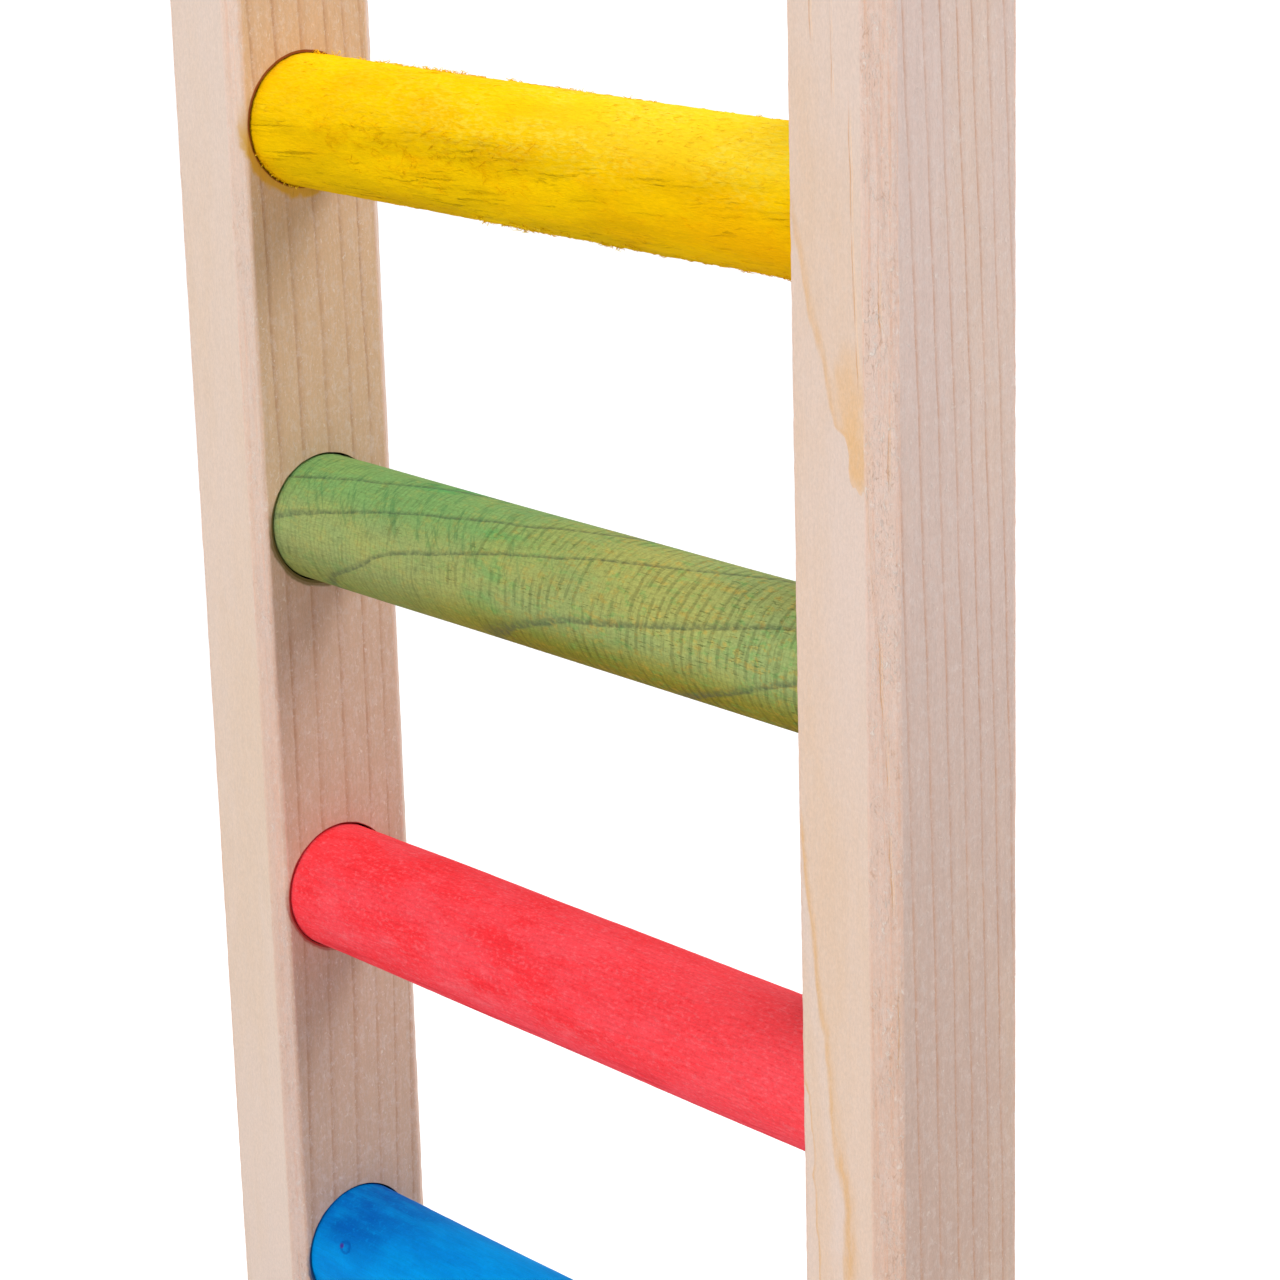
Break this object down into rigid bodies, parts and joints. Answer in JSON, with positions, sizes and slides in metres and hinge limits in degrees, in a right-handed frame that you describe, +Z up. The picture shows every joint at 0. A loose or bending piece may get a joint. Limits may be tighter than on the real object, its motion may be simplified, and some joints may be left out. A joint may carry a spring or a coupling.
{
  "type": "bird ladder",
  "caption": "Small wooden cage ladder for birds, with planed softwood side rails and round dyed dowel rungs glued into blind sockets.",
  "frame": {"origin": "on the ground, midway between the rails and midway through their depth", "axes": "+Z up along the rails, +X from the left rail to the right rail along the rungs, -Y out of the front faces, which the rungs sit nearer to"},
  "size_m": [0.094, 0.0164, 0.1625],
  "materials": {
    "rail_softwood": "planed bare softwood, matte",
    "blue_dyed_dowel": "dyed bare dowel, matte",
    "red_dyed_dowel": "dyed bare dowel, matte",
    "green_dyed_dowel": "dyed bare dowel, matte",
    "yellow_dyed_dowel": "dyed bare dowel, fuzzy, matte"
  },
  "bodies": {
    "root": {"left_rail": "rail_softwood", "right_rail": "rail_softwood", "blue_rung": "blue_dyed_dowel", "red_rung": "red_dyed_dowel", "green_rung": "green_dyed_dowel", "yellow_rung": "yellow_dyed_dowel"}
  },
  "joints": []
}
